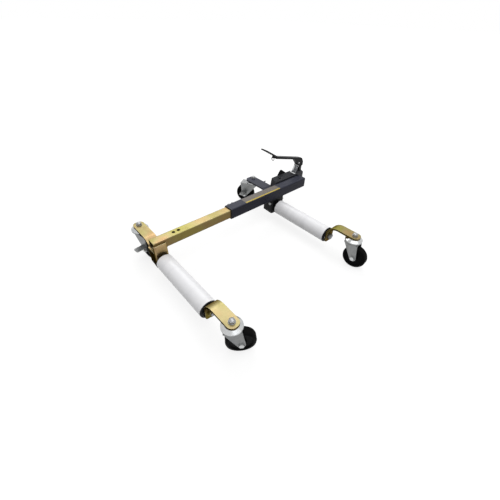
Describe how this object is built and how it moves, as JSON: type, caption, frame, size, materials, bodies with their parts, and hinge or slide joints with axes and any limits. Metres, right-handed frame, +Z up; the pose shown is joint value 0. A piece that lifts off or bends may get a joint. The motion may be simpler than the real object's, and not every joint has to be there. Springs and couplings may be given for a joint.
{
  "type": "vehicle positioning jack",
  "caption": "Foot-pumped wheel dolly: rollers on a telescoping square-tube frame close on a car tyre, lift it and carry it on swivel casters.",
  "frame": {"origin": "on the floor under the middle of the jack's outline", "axes": "+X along the tubes from the inner tube's open end to the pump, +Y away from the rollers, +Z up"},
  "size_m": [0.9358, 0.8068, 0.3592],
  "materials": {
    "yellow_zinc": "yellow passivated zinc plating",
    "slate_paint": "satin",
    "black_paint": "satin",
    "pump_casting": "sand-cast texture under satin paint",
    "roller_coat": "satin silver-white",
    "cap_plastic": "moulded",
    "guide_nylon": "moulded",
    "wheel_polymer": "moulded, solid",
    "zinc_steel": "clear zinc plating",
    "bright_steel": "bright zinc",
    "bearing_steel": "ground",
    "axle_steel": "turned",
    "spring_steel": "zinc plated wire",
    "tread_rubber": "ribbed"
  },
  "bodies": {
    "outer_frame": {"outer_tube": "slate_paint", "end_plate": "black_paint", "guide_bush": "guide_nylon", "tube_screws": "zinc_steel", "right_bracket": "black_paint", "right_rear_arm": "slate_paint", "right_front_arm": "yellow_zinc", "right_axle": "axle_steel", "right_axle_hardware": "zinc_steel", "right_kingpins": "bright_steel", "right_raceways": "bright_steel", "pump_housing": "pump_casting", "filler_plug": "zinc_steel", "fulcrum_post": "black_paint", "fulcrum_pin": "black_paint", "plunger_gland": "zinc_steel", "plunger_spring": "spring_steel", "ram_cylinder": "axle_steel", "ram_gland": "axle_steel", "return_spring": "spring_steel", "oil_nipple": "axle_steel", "stow_peg": "zinc_steel"},
    "inner_frame": {"inner_tube": "yellow_zinc", "left_bracket": "yellow_zinc", "left_rear_arm": "yellow_zinc", "left_front_arm": "yellow_zinc", "left_axle": "axle_steel", "left_axle_hardware": "zinc_steel", "left_kingpins": "bright_steel", "left_raceways": "bright_steel", "ram_rod": "axle_steel", "ram_piston": "axle_steel", "rod_anchor": "axle_steel", "anchor_screws": "zinc_steel"},
    "left_roller": {"left_roller_sleeve": "roller_coat", "left_roller_end_caps": "cap_plastic", "left_roller_bearings": "bearing_steel"},
    "right_roller": {"right_roller_sleeve": "roller_coat", "right_roller_end_caps": "cap_plastic", "right_roller_bearings": "bearing_steel"},
    "front_left_caster": {"front_left_fork": "zinc_steel", "front_left_wheel_axle": "zinc_steel"},
    "front_left_wheel_body": {"front_left_wheel": "wheel_polymer"},
    "front_right_caster": {"front_right_fork": "zinc_steel", "front_right_wheel_axle": "zinc_steel"},
    "front_right_wheel_body": {"front_right_wheel": "wheel_polymer"},
    "rear_left_caster": {"rear_left_fork": "zinc_steel", "rear_left_wheel_axle": "zinc_steel"},
    "rear_left_wheel_body": {"rear_left_wheel": "wheel_polymer"},
    "rear_right_caster": {"rear_right_fork": "zinc_steel", "rear_right_wheel_axle": "zinc_steel"},
    "rear_right_wheel_body": {"rear_right_wheel": "wheel_polymer"},
    "rear_left_brake_lever": {"rear_left_brake": "zinc_steel"},
    "rear_right_brake_lever": {"rear_right_brake": "zinc_steel"},
    "pedal": {"pedal_arm": "black_paint", "pedal_pad": "tread_rubber", "press_pin": "bright_steel"},
    "ring": {"pedal_ring": "zinc_steel"},
    "pump_plunger": {"plunger": "bright_steel"},
    "release": {"release_lever": "black_paint"}
  },
  "joints": [
    {"name": "frame_slide", "type": "slide", "parent": "outer_frame", "child": "inner_frame", "axis": [1, 0, 0], "range_m": [0, 0.2], "deforming": ["return_spring"]},
    {"name": "left_roller_spin", "type": "hinge", "parent": "inner_frame", "child": "left_roller", "pos_m": [-0.40864, -0.05236, 0.0765], "axis": [0, 1, 0], "continuous": true},
    {"name": "right_roller_spin", "type": "hinge", "parent": "outer_frame", "child": "right_roller", "pos_m": [0.23136, -0.05236, 0.0765], "axis": [0, 1, 0], "continuous": true},
    {"name": "front_left_swivel", "type": "hinge", "parent": "inner_frame", "child": "front_left_caster", "pos_m": [-0.40864, -0.32686, 0.1238], "axis": [0, 0, 1], "continuous": true},
    {"name": "front_left_wheel_spin", "type": "hinge", "parent": "front_left_caster", "child": "front_left_wheel_body", "pos_m": [-0.38708, -0.3414, 0.05], "axis": [0.5592, 0.829, 0], "continuous": true},
    {"name": "front_right_swivel", "type": "hinge", "parent": "outer_frame", "child": "front_right_caster", "pos_m": [0.23136, -0.32686, 0.1238], "axis": [0, 0, 1], "continuous": true},
    {"name": "front_right_wheel_spin", "type": "hinge", "parent": "front_right_caster", "child": "front_right_wheel_body", "pos_m": [0.23408, -0.35272, 0.05], "axis": [0.9945, 0.1045, 0], "continuous": true},
    {"name": "rear_left_swivel", "type": "hinge", "parent": "inner_frame", "child": "rear_left_caster", "pos_m": [-0.40864, 0.29514, 0.1238], "axis": [0, 0, 1], "continuous": true},
    {"name": "rear_left_wheel_spin", "type": "hinge", "parent": "rear_left_caster", "child": "rear_left_wheel_body", "pos_m": [-0.40265, 0.25256, 0.05], "axis": [0.9903, 0.1392, 0], "continuous": true},
    {"name": "rear_left_brake_turn", "type": "hinge", "parent": "rear_left_caster", "child": "rear_left_brake_lever", "pos_m": [-0.40265, 0.25256, 0.05], "axis": [0.9903, 0.1392, 0], "range_deg": [0, 30]},
    {"name": "rear_right_swivel", "type": "hinge", "parent": "outer_frame", "child": "rear_right_caster", "pos_m": [0.24836, 0.31664, 0.1238], "axis": [0, 0, 1], "continuous": true},
    {"name": "rear_right_wheel_spin", "type": "hinge", "parent": "rear_right_caster", "child": "rear_right_wheel_body", "pos_m": [0.22818, 0.35461, 0.05], "axis": [-0.8829, -0.4695, 0], "continuous": true},
    {"name": "rear_right_brake_turn", "type": "hinge", "parent": "rear_right_caster", "child": "rear_right_brake_lever", "pos_m": [0.22818, 0.35461, 0.05], "axis": [-0.8829, -0.4695, 0], "range_deg": [0, 30]},
    {"name": "pedal_press", "type": "hinge", "parent": "outer_frame", "child": "pedal", "pos_m": [0.45478, 0.17614, 0.22249], "axis": [0, -1, 0], "range_deg": [0, 20]},
    {"name": "plunger_slide", "type": "slide", "parent": "outer_frame", "child": "pump_plunger", "axis": [-0.4226, 0, -0.9063], "range_m": [0, 0.0095], "stiffness_N_per_m": 5000, "springref_m": -0.02, "deforming": ["plunger_spring"]},
    {"name": "ring_swing", "type": "hinge", "parent": "pedal", "child": "ring", "pos_m": [0.24075, 0.17614, 0.30842], "axis": [0, 1, 0], "range_deg": [-25, 35]},
    {"name": "release_turn", "type": "hinge", "parent": "outer_frame", "child": "release", "pos_m": [0.33286, 0.19314, 0.168], "axis": [0, 1, 0], "range_deg": [0, 40]}
  ],
  "couplings": [
    {"joint": "plunger_slide", "follows": "pedal_press", "m_per_rad": 0.026}
  ]
}
